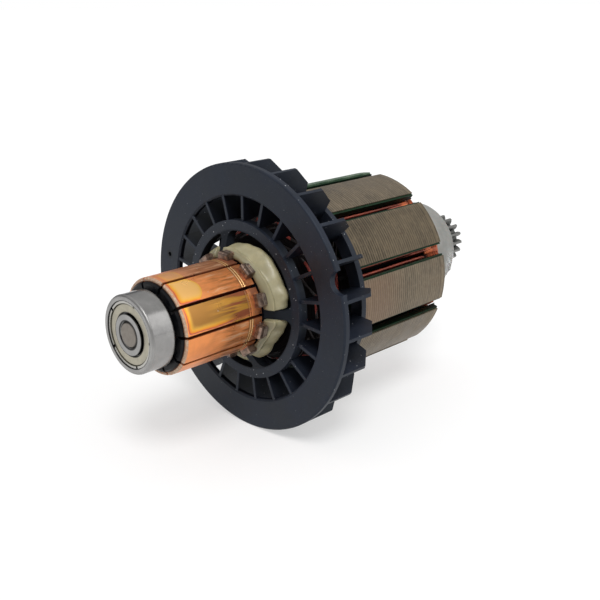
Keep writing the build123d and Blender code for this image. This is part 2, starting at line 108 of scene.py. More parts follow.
class ArmatureStudio(bpy.types.PropertyGroup):
    sky_level: bpy.props.FloatProperty(
        name="Sky Level", description="Strength of the soft light from all round",
        default=0.6, min=0.0, max=2.0, subtype="FACTOR")
    key_level: bpy.props.FloatProperty(
        name="Key Level", description="Strength of the soft light from above",
        default=1.5, min=0.0, max=10.0)
    lens: bpy.props.FloatProperty(
        name="Lens", description="Focal length of the camera", default=54.585, min=10.0, max=200.0, unit="CAMERA")


# Shader helpers

def feed(tree, socket, value):
    """Links a field or a socket to the input, or sets its value."""
    if isinstance(value, Field):
        value = value.socket
    if isinstance(value, bpy.types.NodeSocket):
        tree.links.new(value, socket)
    elif socket.type == "RGBA" and len(value) == 3:
        socket.default_value = (*value, 1.0)
    else:
        socket.default_value = value


def feed_all(tree, sockets, values):
    """Feeds each value to the socket of its name or number."""
    for key, value in values.items():
        feed(tree, sockets[key], value)


def put(tree, kind, inputs=None, **settings):
    """A shader node with its settings and inputs."""
    node = tree.nodes.new("ShaderNode" + kind)
    for name, value in settings.items():
        setattr(node, name, value)
    feed_all(tree, node.inputs, inputs or {})
    return node


def made(tree, kind, inputs=None, result=0, **settings):
    """What one output of a new shader node gives, as a field."""
    return Field(tree, put(tree, kind, inputs, **settings).outputs[result])


def fields(tree, outputs):
    """A node's outputs as fields, by their names."""
    return {socket.name: Field(tree, socket) for socket in outputs}


class Field:
    """A number, place, colour or normal that varies over the surface, with what can be made of it."""

    def __init__(self, tree, socket):
        self.tree = tree
        self.socket = socket

    def calc(self, operation, second=0.0, third=0.0):
        """One step of arithmetic."""
        return made(self.tree, "Math", {0: self, 1: second, 2: third}, operation=operation)

    def __add__(self, other):
        return self.calc("ADD", other)

    def __sub__(self, other):
        return self.calc("SUBTRACT", other)

    def __rsub__(self, other):
        return made(self.tree, "Math", {0: other, 1: self}, operation="SUBTRACT")

    def __mul__(self, other):
        return self.calc("MULTIPLY", other)

    def __truediv__(self, other):
        return self.calc("DIVIDE", other)

    def __abs__(self):
        return self.calc("ABSOLUTE")

    def fade(self, low, high, start=0.0, end=1.0):
        """Start below low, end above high and smooth between."""
        inputs = {"Value": self, "From Min": low, "From Max": high, "To Min": start, "To Max": end}
        return made(self.tree, "MapRange", inputs, interpolation_type="SMOOTHSTEP")

    def band(self, start, full, waning, end):
        """A mask that rises from start to full and falls from waning to end."""
        return self.fade(start, full) * self.fade(waning, end, 1.0, 0.0)

    def blend(self, first, second, mode="MIX"):
        """Two colours mixed, with this as the share of the second."""
        inputs = {0: self, 6: first, 7: second}
        return made(self.tree, "Mix", inputs, 2, data_type="RGBA", blend_type=mode)

    def ramp(self, stops):
        """A colour ramp through (place, colour) stops."""
        node = put(self.tree, "ValToRGB", {0: self})
        elements = node.color_ramp.elements
        while len(elements) < len(stops):
            elements.new(0.5)
        for element, (place, colour) in zip(elements, stops):
            element.position = place
            element.color = (*colour, 1.0)
        return Field(self.tree, node.outputs["Color"])

    def parts(self):
        """The three numbers of a place."""
        outputs = put(self.tree, "SeparateXYZ", {0: self}).outputs
        return [Field(self.tree, socket) for socket in outputs]

    def stretched(self, x, y, z):
        """Place scaled by a factor along each axis."""
        return made(self.tree, "VectorMath", {0: self, 1: (x, y, z)}, operation="MULTIPLY")

    def cloud(self, scale=1.0, detail=2.0, roughness=0.5):
        """Soft noise at a place, with its features about 1 / scale millimetres wide."""
        inputs = {"Vector": self, "Scale": scale, "Detail": detail, "Roughness": roughness}
        return made(self.tree, "TexNoise", inputs)

    def bump(self, strength, distance):
        """Normal raised by a height, with the distance in millimetres."""
        inputs = {"Height": self, "Strength": strength, "Distance": distance * MM}
        return made(self.tree, "Bump", inputs, "Normal")


def group_tree(name, inputs, outputs):
    """An empty node group with its sockets: its tree, its inputs as fields and its output's sockets."""
    tree = bpy.data.node_groups.new(name, "ShaderNodeTree")
    for socket, kind, default in inputs:
        item = tree.interface.new_socket(name=socket, in_out="INPUT", socket_type="NodeSocket" + kind)
        if default is not None:
            item.default_value = default
    for socket, kind in outputs:
        tree.interface.new_socket(name=socket, in_out="OUTPUT", socket_type="NodeSocket" + kind)
    given = fields(tree, tree.nodes.new("NodeGroupInput").outputs)
    return tree, given, tree.nodes.new("NodeGroupOutput").inputs


def effect(tree, name, inputs=None):
    """What a shared effect placed in a material gives, as fields."""
    node = tree.nodes.new("ShaderNodeGroup")
    node.node_tree = bpy.data.node_groups.get(name) or EFFECTS[name]()
    feed_all(tree, node.inputs, inputs or {})
    return fields(tree, node.outputs)


def from_axis(y, z):
    """Distance from the shaft's axis."""
    return (y * y + z * z).calc("SQRT")


def shaft_places():
    """Place in millimetres, and the same point as a distance along the shaft, a radius and an angle."""
    outputs = [("Place", "Vector"), ("Along", "Float"), ("Radius", "Float"), ("Angle", "Float")]
    tree, _, out = group_tree("Shaft Places", [], outputs)
    own = made(tree, "TexCoord", result="Object")
    place = made(tree, "VectorMath", {0: own, "Scale": 1 / MM}, operation="SCALE")
    x, y, z = place.parts()
    turn = z.calc("ARCTAN2", y).calc("DEGREES").calc("WRAP", 360.0, 0.0)
    feed_all(tree, out, {"Place": place, "Along": x, "Radius": from_axis(y, z), "Angle": turn})
    return tree


def turned_lines():
    """Fine uneven lines round the shaft, as a cutting tool or grinding wheel leaves them."""
    inputs = [("Place", "Vector", None), ("Spacing", "Float", 0.1), ("Unevenness", "Float", 0.3)]
    tree, given, out = group_tree("Turned Lines", inputs, [("Height", "Float")])
    x, y, z = given["Place"].parts()
    reach = x + from_axis(y, z)
    drift = given["Place"].cloud(0.35) * given["Unevenness"]
    count = (reach + drift) / given["Spacing"]
    lines = made(tree, "TexNoise", {"W": count, "Scale": 1.0, "Detail": 2.0}, noise_dimensions="1D")
    feed(tree, out["Height"], lines)
    return tree


def dust_specks():
    """Small scattered specks of dust: a mask."""
    inputs = [("Place", "Vector", None), ("Per Millimetre", "Float", 0.6), ("Size", "Float", 0.08)]
    tree, given, out = group_tree("Dust Specks", inputs, [("Mask", "Float")])
    cells = fields(tree, put(tree, "TexVoronoi", {"Vector": given["Place"], "Scale": given["Per Millimetre"]}).outputs)
    chance = fields(tree, put(tree, "SeparateColor", {0: cells["Color"]}).outputs)
    inside = cells["Distance"].calc("LESS_THAN", given["Size"] * chance["Red"])
    feed(tree, out["Mask"], inside * chance["Green"].calc("GREATER_THAN", 0.45))
    return tree


def heat_tint():
    """Oxide colours of a heated patch on copper: magenta at its edge, then orange, gold and amber."""
    inputs = [("Along", "Float", 0.0), ("Across", "Float", 0.0), ("Front", "Float", 4.0), ("Rear", "Float", 15.0),
              ("Lower Side", "Float", -2.0), ("Upper Side", "Float", 2.0), ("Ragged", "Float", 0.0),
              ("Centre", "Color", (0.9, 0.5, 0.15, 1.0))]
    tree, given, out = group_tree("Heat Tint", inputs, [("Colour", "Color"), ("Mask", "Float")])
    from_front = given["Along"] - given["Front"]
    from_rear = given["Rear"] - given["Along"]
    from_lower = given["Across"] - given["Lower Side"]
    from_upper = given["Upper Side"] - given["Across"]
    corner = 0.8
    sides = from_lower.calc("SMOOTH_MIN", from_upper, corner)
    ends = from_front.calc("SMOOTH_MIN", from_rear + 0.5, corner)
    depth = sides.calc("SMOOTH_MIN", ends, corner) + given["Ragged"]
    shade = (depth * 0.45).ramp([
        (0.0, (0.5, 0.17, 0.12)), (0.035, (0.38, 0.1, 0.16)), (0.075, (0.72, 0.13, 0.05)),
        (0.14, (0.95, 0.32, 0.035)), (0.26, (0.95, 0.5, 0.06)), (0.5, (0.97, 0.56, 0.12)), (1.0, (0.97, 0.56, 0.14))])
    feed(tree, out["Colour"], depth.fade(0.45, 1.3).blend(shade, given["Centre"]))
    feed(tree, out["Mask"], depth.calc("MINIMUM", from_rear * 4.0).fade(0.0, 0.12))
    return tree


EFFECTS = {
    "Shaft Places": shaft_places,
    "Turned Lines": turned_lines,
    "Dust Specks": dust_specks,
    "Heat Tint": heat_tint,
}


def new_material(name):
    """A new material, its node tree and its shader."""
    material = bpy.data.materials.new(name)
    material.use_nodes = True
    tree = material.node_tree
    return material, tree, next(n for n in tree.nodes if n.type == "BSDF_PRINCIPLED")


class Finish:
    """A new material in the making, with its fields: place, distance along the shaft, radius and angle."""

    def __init__(self, name):
        self.material, self.tree, self.shader = new_material(name)
        at = effect(self.tree, "Shaft Places")
        self.place, self.along, self.radius, self.angle = at["Place"], at["Along"], at["Radius"], at["Angle"]

    def turned(self, spacing, unevenness):
        """Height of the turned lines."""
        inputs = {"Place": self.place, "Spacing": spacing, "Unevenness": unevenness}
        return effect(self.tree, "Turned Lines", inputs)["Height"]

    def specks(self, per_millimetre, size):
        """Mask of the dust specks."""
        inputs = {"Place": self.place, "Per Millimetre": per_millimetre, "Size": size}
        return effect(self.tree, "Dust Specks", inputs)["Mask"]

    def done(self, inputs):
        """The material, with its shader's inputs."""
        feed_all(self.tree, self.shader.inputs, inputs)
        return self.material


def colours():
    """The colours that the user has set."""
    return bpy.context.scene.armature_colours


def sizes():
    """The sizes that the user has set."""
    return bpy.context.scene.armature_sizes


def tone(colour, factor):
    """A colour made lighter or darker."""
    return tuple(min(1.0, part * factor) for part in colour)


# Finishes

def painted_gap_shade(radius, rings):
    """Painted shade in the narrow gaps of the bearing, as dark rings between two radii: a mask."""
    mask = 0.0
    for low, high in rings:
        middle, half = (low + high) / 2, (high - low) / 2
        mask = abs(radius - middle).fade(half * 0.55, half, 1.0, 0.0).calc("MAXIMUM", mask)
    return mask * 0.9


def ground_steel():
    """Bearing steel: satin, with fine grinding lines and faint handling smudges."""
    at = Finish("ground_steel")
    steel = colours().steel
    smudge = at.place.cloud(0.45, 4.0, 0.6)
    colour = smudge.fade(0.35, 0.7).blend(tone(steel, 0.86), tone(steel, 1.06))
    # Painted shade: dark rings where the rings meet the shaft and the shields
    shade_rings = painted_gap_shade(at.radius, ((2.0, 2.32), (3.0, 3.5), (5.0, 5.2)))
    edge = at.radius.fade(5.55, 5.65) * abs(at.along).fade(1.55, 1.65)
    rough = smudge.fade(0.3, 0.75, 0.15, 0.24)
    return at.done({
        "Base Color": shade_rings.blend(colour, (0.02, 0.02, 0.02)),
        "Roughness": rough + edge * 0.25,
        "Normal": at.turned(0.05, 0.1).bump(0.25, 0.01),
        "Metallic": 1.0,
    })


def shield_sheet():
    """Pressed shield: warm grey sheet with soft stains."""
    at = Finish("shield_sheet")
    stain = at.place.cloud(0.8, 5.0, 0.65)
    colour = stain.fade(0.35, 0.68).blend((0.37, 0.345, 0.275), (0.48, 0.45, 0.36))
    rim = at.radius.fade(4.7, 4.76)
    colour = rim.blend(colour, (0.5, 0.49, 0.46))
    # Painted shade: dark rings in the gaps beside the shield, and on the notch floors of its crimp
    shade_rings = painted_gap_shade(at.radius, ((3.3, 3.46), (4.5, 4.72), (5.03, 5.12)))
    shade_rings = shade_rings.calc("MAXIMUM", rim * abs(at.along).fade(1.8, 1.74))
    return at.done({
        "Base Color": shade_rings.blend(colour, (0.015, 0.015, 0.012)),
        "Roughness": stain.fade(0.3, 0.7, 0.34, 0.5),
        "Normal": at.turned(0.12, 0.3).bump(0.3, 0.01),
        "Metallic": 0.9,
    })


def shaft_end_steel():
    """Shaft: dulled ground steel, browner at its front end face."""
    at = Finish("shaft_end_steel")
    stain = at.place.cloud(1.1, 5.0, 0.6)
    dull = stain.fade(0.3, 0.7).blend((0.2, 0.175, 0.15), (0.28, 0.255, 0.225))
    # Painted shade: near black from about 1.8 mm out, at the gap round the shaft
    edge = at.radius.fade(1.7, 1.9)
    return at.done({
        "Base Color": edge.blend(dull, (0.05, 0.048, 0.045)),
        "Normal": at.turned(0.16, 0.4).bump(0.5, 0.015),
        "Roughness": stain.fade(0.3, 0.7, 0.38, 0.55),
        "Metallic": 0.9,
    })


def cut_steel():
    """Pinion: dark grey cut steel, a little lighter on the worn tips."""
    at = Finish("cut_steel")
    stain = at.place.cloud(1.2, 4.0, 0.6)
    dull = stain.fade(0.3, 0.7).blend((0.085, 0.09, 0.085), (0.14, 0.14, 0.132))
    return at.done({
        "Base Color": at.radius.fade(4.45, 4.72).blend(dull, (0.21, 0.21, 0.2)),
        "Normal": at.place.cloud(9.0, 3.0).bump(0.3, 0.02),
        "Roughness": stain.fade(0.3, 0.7, 0.38, 0.55),
        "Metallic": 0.85,
    })


def black_moulding():
    """Commutator moulding: near black and glossy, with pale residue round its front."""
    at = Finish("black_moulding")
    specks = at.specks(1.2, 0.14)
    grime = at.place.cloud(0.9, 4.0, 0.6)
    black = grime.fade(0.4, 0.75).blend((0.004, 0.0045, 0.006), (0.012, 0.0115, 0.012))
    slot = at.along.fade(3.4, 3.6) * at.radius.fade(5.6, 5.9)
    black = slot.blend(black, (0.12, 0.03, 0.016))
    return at.done({
        "Base Color": specks.blend(black, (0.22, 0.21, 0.19)),
        "Roughness": grime.fade(0.3, 0.7, 0.26, 0.42),
        "Normal": at.place.cloud(2.2, 4.0).bump(0.3, 0.06),
        "Specular IOR Level": 0.15,
    })


# Angles of the three heated bars
TOP_BAR, GOLD_BAR, AMBER_BAR = 90.0, 126.0, 162.0


def run_in_copper():
    """Commutator bars: turned copper with streaks and three heat-tinted bars, of which the top one is duller."""
    at = Finish("run_in_copper")
    copper = colours().copper
    along, angle, place = at.along, at.angle, at.place
    millimetres_per_degree = BAR_SURFACE * pi / 180
    broad = place.cloud(0.35, 3.0, 0.55)
    colour = broad.fade(0.3, 0.7).blend(tone(copper, 0.86), tone(copper, 1.12))

    def bar_mask(middle, half_width=17.0):
        low, high = middle - half_width, middle + half_width
        return angle.band(low - 1.0, low, high, high + 1.0)

    # The top bar is duller and browner behind its yellowed front
    top = bar_mask(TOP_BAR, 17.5) * along.fade(5.0, 8.0, 0.25, 0.75)
    colour = top.blend(colour, (0.62, 0.27, 0.14))

    # Long soft dents, deepest before the twin groove: darker streaks, and pale streaks that are a painted highlight
    dents = place.stretched(0.24, 1.9, 1.9).cloud(1.0, 3.0, 0.55)
    wide = place.stretched(0.2, 0.8, 0.8).cloud(1.0, 2.0)
    where = along.fade(6.0, 12.5) * along.fade(14.6, 15.0, 1.0, 0.35)
    where = where * wide.fade(0.32, 0.55, 0.35, 1.0)
    colour = (dents.fade(0.5, 0.62) * where * 0.78).blend(colour, tone(copper, 0.42))
    # Painted highlight: pale streaks along the dents
    colour = (dents.fade(0.46, 0.36) * where * 0.82).blend(colour, (1.0, 0.62, 0.36))

    # Heat tints
    wobble = (place.cloud(0.45, 2.0) - 0.5) * 0.5
    streaky = place.stretched(0.14, 2.0, 2.0).cloud(1.0, 2.0) - 0.5
    for middle, front, rear, bow, lower, upper, centre in (
        (TOP_BAR, 3.4, 7.0, 0.0, -1.3, 2.6, (0.7, 0.43, 0.16)),
        (GOLD_BAR, 3.12, 8.0, 0.28, -2.7, 2.15, (0.96, 0.56, 0.18)),
        (AMBER_BAR, 3.15, 15.4, 0.0, -3.4, 2.0, (0.42, 0.205, 0.045)),
    ):
        across = (angle - middle) * millimetres_per_degree
        torn = (streaky - 0.07) * along.fade(10.0, 14.0, 0.0, 3.2)
        tint = effect(at.tree, "Heat Tint", {
            "Along": along, "Across": across, "Front": front, "Rear": rear - across * across * bow,
            "Lower Side": lower, "Upper Side": upper, "Ragged": wobble + torn, "Centre": centre})
        shown = tint["Mask"] * bar_mask(middle)
        stain = tint["Colour"]
        if middle == AMBER_BAR:
            gold = along.fade(6.0, 11.5) * streaky.fade(0.0, 0.1)
            stain = gold.blend(stain, (0.66, 0.33, 0.05))
            red = along.fade(9.5, 13.0) * streaky.fade(-0.04, 0.05, 1.0, 0.0)
            red = red.calc("MAXIMUM", along.fade(10.0, 13.5) * across.fade(-1.3, -2.0))
            stain = red.blend(stain, (0.36, 0.1, 0.045))
        colour = (shown * (0.45 if middle == TOP_BAR else 0.94)).blend(colour, stain)

    # Painted highlights along the lips of the twin groove, reddened bar ends and rough tan front ends
    outside = at.radius.fade(7.2, 7.26)
    lip_highlight = (1.0, 0.78, 0.46)
    # Painted highlights: two pale lines along the twin groove
    for groove_x, half, shade, strength in (
        (15.2, 0.6, (0.4, 0.13, 0.05), 0.85), (14.97, 0.14, lip_highlight, 0.9), (15.43, 0.14, lip_highlight, 0.9),
    ):
        line = abs(along - groove_x).fade(half * 0.6, half, 1.0, 0.0) * outside
        line = line * (1.0 - bar_mask(AMBER_BAR) * 0.7)
        colour = (line * strength).blend(colour, shade)
    behind = along.fade(15.6, 16.1) * place.cloud(0.8, 2.0).fade(0.35, 0.6, 0.35, 1.0)
    colour = (behind * 0.85).blend(colour, (0.4, 0.15, 0.09))
    burnt = place.cloud(1.5, 4.0, 0.65)
    hook = burnt.fade(0.4, 0.6).blend((0.13, 0.09, 0.07), (0.3, 0.2, 0.15))
    colour = at.radius.fade(7.49, 7.56).blend(colour, hook)
    residue = place.cloud(2.5, 4.0, 0.7)
    front = along.fade(3.12, 3.0) * residue.fade(0.25, 0.45)
    front_shade = residue.fade(0.42, 0.62).blend((0.46, 0.32, 0.23), (0.62, 0.52, 0.4))
    front_shade = at.radius.fade(7.06, 6.96).blend(front_shade, (0.012, 0.011, 0.012))
    colour = (front * 0.9).blend(colour, front_shade)
    colour = at.specks(0.75, 0.1).blend(colour, (0.8, 0.72, 0.6))
    inside = at.radius.fade(7.36, 7.2)
    height = at.turned(0.09, 0.05) * 0.1 + dents * where
    return at.done({
        "Base Color": (inside * along.fade(3.3, 3.5)).blend(colour, (0.45, 0.12, 0.06)),
        "Normal": height.bump(0.6, 0.12),
        "Roughness": broad.fade(0.3, 0.7, 0.27, 0.38) + front * 0.3,
        "Metallic": front.fade(0.0, 1.0, 0.72, 0.4),
    })


def burnt_copper():
    """Fused wire ends and hooks: brown grey copper with pinkish bare spots."""
    at = Finish("burnt_copper")
    burn = at.place.cloud(1.6, 4.0, 0.65)
    scale = burn.fade(0.35, 0.62).blend((0.13, 0.1, 0.085), (0.27, 0.21, 0.165))
    bare = at.place.cloud(0.9, 2.0).fade(0.54, 0.64)
    return at.done({
        "Base Color": bare.blend(scale, (0.5, 0.33, 0.24)),
        "Normal": at.place.cloud(1.8, 3.0, 0.5).bump(0.4, 0.08),
        "Roughness": burn.fade(0.3, 0.7, 0.32, 0.55),
        "Metallic": 0.75,
    })


def flowed_resin():
    """Cream resin: glossy, a little translucent, greener and darker towards its foot, with painted shade on its steep
    front band.
    """
    at = Finish("flowed_resin")
    resin = colours().resin
    mottle = at.place.cloud(0.55, 4.0, 0.55)
    colour = mottle.fade(0.35, 0.68).blend(tone(resin, 0.88), tone(resin, 1.1))
    # Darker and greener towards the foot
    low = at.radius.fade(8.9, 7.9)
    colour = (low * 0.55).blend(colour, (0.17, 0.155, 0.1))
    # Painted shade: darker on the steep front band before the ridge
    band = at.along.fade(18.08, 17.85) * mottle.fade(0.3, 0.6, 0.25, 0.6)
    colour = band.blend(colour, tone(resin, 0.55))
    yellow = at.place.cloud(1.4, 3.0).fade(0.58, 0.72)
    return at.done({
        "Base Color": (yellow * 0.35).blend(colour, (0.36, 0.3, 0.16)),
        "Normal": at.place.cloud(0.7, 2.0, 0.5).bump(0.2, 0.2),
        "Roughness": mottle.fade(0.3, 0.7, 0.34, 0.46),
        "Subsurface Weight": 0.15,
        "Subsurface Radius": (1.0, 0.8, 0.45),
        "Subsurface Scale": 0.6 * MM,
        "Coat Weight": 0.12,
        "Coat Roughness": 0.14,
    })


# Place of the pip hole in the fan's face ring
PIP_PLACE = (20.2, 18.77, 4.02)


def dusty_fan_plastic():
    """Fan: dark blue grey satin plastic with pale dust, a fine spark-eroded grain and soft flow marks."""
    at = Finish("dusty_fan_plastic")
    fan = colours().fan
    flow = at.place.cloud(0.16, 4.0, 0.6)
    colour = flow.fade(0.35, 0.7).blend(tone(fan, 0.8), tone(fan, 1.35))
    colour = (at.specks(2.6, 0.18) * 0.5).blend(colour, (0.14, 0.15, 0.165))
    colour = (at.specks(1.4, 0.15) * 0.9).blend(colour, (0.42, 0.43, 0.45))
    film = at.place.cloud(0.5, 5.0, 0.7).fade(0.5, 0.8) * 0.35
    colour = film.blend(colour, (0.028, 0.031, 0.039))
    # Painted shade: near black inside the fan behind its face, less dark on the lit side
    inner = at.along.fade(20.35, 20.6) * at.radius.fade(17.1, 16.6)
    inner = inner * at.along.fade(28.6, 29.3, 1.0, 0.0)
    lit = at.angle.fade(112.0, 140.0) * at.angle.fade(240.0, 275.0, 1.0, 0.3)
    inner = inner * lit.fade(0.0, 1.0, 0.96, 0.4)
    colour = inner.blend(colour, (0.0015, 0.002, 0.004))
    arms = at.radius.fade(11.7, 11.1, 0.0, 0.7)
    colour = arms.blend(colour, (0.002, 0.0024, 0.0035))
    # Painted shade: a dark disc round the pip hole, wider than the hole
    pip = made(at.tree, "VectorMath", {0: at.place, 1: PIP_PLACE}, "Value", operation="DISTANCE")
    return at.done({
        "Base Color": pip.fade(0.55, 0.95, 0.85, 0.0).blend(colour, (0.003, 0.0035, 0.005)),
        "Normal": at.place.cloud(7.0, 3.0, 0.6).bump(0.35, 0.03),
        "Roughness": flow.fade(0.3, 0.7, 0.4, 0.52) + arms * 0.35,
        "Specular IOR Level": 0.3,
        "Specular Tint": (0.8, 0.9, 1.0, 1.0),
    })


def turned_laminations(name, brightness, spacing):
    """Core: punched sheets turned round, seen as fine lines across the teeth, dulled brown grey."""
    at = Finish(name)
    core = tone(colours().core, brightness)
    sheet = at.along / spacing + at.place.cloud(0.1, 1.0) * 0.25
    gap = sheet.calc("PINGPONG", 0.5).fade(0.04, 0.26, 1.0, 0.0)
    gap = gap * at.place.cloud(0.22, 2.0).fade(0.34, 0.6, 0.62, 1.0)
    gap = gap * at.along.fade(39.0, 48.0, 1.0, 0.6)
    each = made(at.tree, "TexWhiteNoise", {"W": sheet.calc("FLOOR")}, noise_dimensions="1D")
    stain = at.place.cloud(0.3, 5.0, 0.62)
    colour = stain.fade(0.32, 0.7).blend(tone(core, 0.78), tone(core, 1.2))
    colour = (each * 0.3).blend(colour, tone(core, 1.7))
    colour = (gap * 0.85).blend(colour, tone(core, 0.16))
    grain = at.place.stretched(2.6, 1.0, 1.0).cloud(1.0, 3.0, 0.7)
    colour = (grain.fade(0.48, 0.68) * 0.4).blend(colour, tone(core, 1.8))
    rust = at.place.cloud(1.1, 4.0, 0.65).fade(0.58, 0.74)
    colour = (rust * 0.45).blend(colour, (0.13, 0.075, 0.05))
    # Darker on the tooth round 144 degrees
    dull = at.angle.band(126.0, 134.0, 156.0, 162.0)
    colour = (dull * 0.8).blend(colour, (0.68, 0.66, 0.6), "MULTIPLY")
    warm = at.angle.band(162.0, 170.0, 192.0, 198.0) * at.along.fade(43.0, 35.0, 0.0, 0.4)
    colour = warm.blend(colour, (0.27, 0.165, 0.105))
    ragged = at.place.cloud(0.5, 3.0) * 8.0
    smear = (at.angle + ragged).fade(76.0, 79.0) * at.angle.fade(88.0, 92.0, 1.0, 0.0)
    green = stain.fade(0.35, 0.65).blend(tone(colours().coat, 4.5), (0.2, 0.29, 0.2))
    height = at.place.cloud(5.0, 3.0) * 0.3 - gap
    return at.done({
        "Base Color": (smear * 0.9).blend(colour, green),
        "Normal": height.bump(0.5, 0.05),
        "Roughness": stain.fade(0.3, 0.7, 0.4, 0.55),
        "Metallic": 0.65,
    })


def baked_green_coat():
    """Insulating coat: dark green baked powder, with an uneven gloss, a painted shadow on the sides of the tooth tips
    and a patchy painted highlight along the lips.
    """
    at = Finish("baked_green_coat")
    coat = colours().coat
    mottle = at.place.cloud(0.9, 4.0, 0.6)
    colour = mottle.fade(0.35, 0.7).blend(tone(coat, 0.65), tone(coat, 1.5))
    # Painted shadow: near black on the sides of the tooth tips, behind the front
    inside = at.radius.fade(15.85, 15.45) * at.along.fade(31.3, 32.0)
    colour = (inside * 0.8).blend(colour, tone(coat, 0.12))
    # Painted highlight: a patchy paler line along the lips
    lip_highlight = at.radius.fade(15.6, 15.9) * at.place.cloud(2.4, 4.0).fade(0.35, 0.55)
    return at.done({
        "Base Color": (lip_highlight * 0.4).blend(colour, (0.04, 0.075, 0.042)),
        "Normal": at.place.cloud(3.0, 4.0).bump(0.45, 0.08),
        "Roughness": mottle.fade(0.3, 0.7, 0.36, 0.52),
        "Specular IOR Level": 0.1,
    })


def enamelled_wire():
    """Copper wire under red enamel: brick red in the slots, with painted light orange at the rear, a painted shadow
    behind the core, painted shade deep in the slots and nearly black painted shade at the front with painted glints.
    """
    at = Finish("enamelled_wire")
    wire = colours().wire
    patch = at.place.stretched(0.3, 1.0, 1.0).cloud(0.8, 3.0)
    red = patch.fade(0.35, 0.68).blend(tone(wire, 0.55), wire)
    orange = patch.fade(0.35, 0.68).blend((0.78, 0.17, 0.05), (0.98, 0.27, 0.07))
    # Painted light: lighter orange from about 49 to 51 mm on, where the wires are better lit
    colour = at.along.fade(49.0, 50.8).blend(red, orange)
    # Painted shadow: darker again past 52.3 mm, in the collar's shadow
    colour = at.along.fade(52.3, 53.6).blend(colour, patch.blend((0.3, 0.06, 0.03), (0.62, 0.16, 0.06)))
    # Painted shade: near black for wires lower in the slots
    deep = at.radius.fade(14.15, 13.6) * at.along.fade(46.0, 50.0, 1.0, 0.0)
    colour = (deep * 0.93).blend(colour, (0.03, 0.006, 0.005))
    # Painted shade: nearly black at the front end, with small painted glints
    front = at.along.fade(31.8, 30.8)
    glint = at.place.cloud(0.35, 2.0).fade(0.52, 0.6)
    dark = glint.blend((0.01, 0.005, 0.005), (0.36, 0.05, 0.035))
    return at.done({
        "Base Color": front.blend(colour, dark),
        "Normal": at.place.cloud(2.5, 3.0).bump(0.3, 0.06),
        "Roughness": patch.fade(0.3, 0.7, 0.25, 0.38),
        "Metallic": 0.4,
        "Coat Weight": 0.2,
        "Coat Roughness": 0.2,
    })


def deep_winding():
    """Wound body under the top wires, in painted shade: nearly black in the slots, dark red brown at the ends, ribbed
    by its turns.
    """
    at = Finish("deep_winding")
    patch = at.place.cloud(0.8, 3.0)
    # Painted shade: nearly black in the slots
    black = patch.fade(0.4, 0.7).blend((0.002, 0.0012, 0.0015), (0.006, 0.003, 0.003))
    turn = at.angle.calc("PINGPONG", 180.0) * 0.015
    laid = made(at.tree, "CombineXYZ", {0: at.along, 1: at.radius, 2: turn})
    strand = laid.cloud(2.8, 2.0) + (patch - 0.5) * 0.3
    # Painted shade: dark red brown at the ends
    brown = strand.fade(0.35, 0.65).blend((0.15, 0.032, 0.016), (0.4, 0.092, 0.036))
    return at.done({
        "Base Color": at.along.fade(49.3, 51.6).blend(black, brown),
        "Normal": at.turned(0.5, 0.8).bump(0.8, 0.2),
        "Roughness": patch.fade(0.3, 0.7, 0.6, 0.8),
        "Specular IOR Level": 0.08,
    })


def rough_collar_plastic():
    """End collar: matte light grey, speckled white where its edge is chipped."""
    at = Finish("rough_collar_plastic")
    collar = colours().collar
    mottle = at.place.cloud(0.5, 4.0, 0.6)
    colour = mottle.fade(0.35, 0.7).blend(tone(collar, 0.88), tone(collar, 1.1))
    chipped = at.angle.band(165.0, 190.0, 235.0, 255.0) * at.along.fade(61.5, 63.5)
    grit = at.place.cloud(3.4, 5.0, 0.75)
    pale = chipped * grit.fade(0.45, 0.58)
    height = at.place.cloud(6.0, 3.0) + grit * chipped * 4.0
    return at.done({
        "Base Color": pale.blend(colour, (0.74, 0.75, 0.74)),
        "Normal": height.bump(0.4, 0.04),
        "Roughness": mottle.fade(0.3, 0.7, 0.5, 0.62),
        "Subsurface Weight": 0.08,
        "Subsurface Scale": 0.5 * MM,
    })


def bright_balls():
    """Bearing balls: polished, with a faint film of grease."""
    at = Finish("bright_balls")
    film = at.place.cloud(1.5, 3.0)
    return at.done({
        "Base Color": film.fade(0.4, 0.7).blend((0.7, 0.69, 0.66), (0.82, 0.82, 0.81)),
        "Roughness": film.fade(0.3, 0.7, 0.1, 0.22),
        "Metallic": 1.0,
    })


def paint(material, *names):
    """Gives CAD nodes their finish."""
    for name in names:
        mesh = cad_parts[name].data
        mesh.materials.clear()
        mesh.materials.append(material)


# Mesh helpers

def around(x, radius, angle):
    """A point at this distance along the shaft, radius and angle, all from millimetres."""
    return Vector((x, radius * cos(radians(angle)), radius * sin(radians(angle)))) * MM


def add_object(name, data):
    """A new object in the scene."""
    added = bpy.data.objects.new(name, data)
    bpy.context.scene.collection.objects.link(added)
    return added


def add_mesh(name, bm, material):
    """A new object in the scene, with one material."""
    bmesh.ops.recalc_face_normals(bm, faces=bm.faces)
    mesh = bpy.data.meshes.new(name)
    bm.to_mesh(mesh)
    bm.free()
    mesh.materials.append(material)
    return add_object(name, mesh)


def new_piece(name, bm, material, body):
    """A finished mesh, smoothly shaded, as a piece of the object that rides on a body."""
    piece = add_mesh(name, bm, material)
    for polygon in piece.data.polygons:
        polygon.use_smooth = True
    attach(piece, body)
    return piece


def skinned(rings, closed=False):
    """A mesh over closed rings of points, with both ends capped unless the last ring meets the first."""
    bm = bmesh.new()
    layers = [[bm.verts.new(point) for point in ring] for ring in rings]
    pairs = list(zip(layers, layers[1:])) + ([(layers[-1], layers[0])] if closed else [])
    for lower, upper in pairs:
        for i in range(len(lower)):
            j = (i + 1) % len(lower)
            bm.faces.new((lower[i], lower[j], upper[j], upper[i]))
    if not closed:
        bm.faces.new(layers[0])
        bm.faces.new(layers[-1])
    return bm


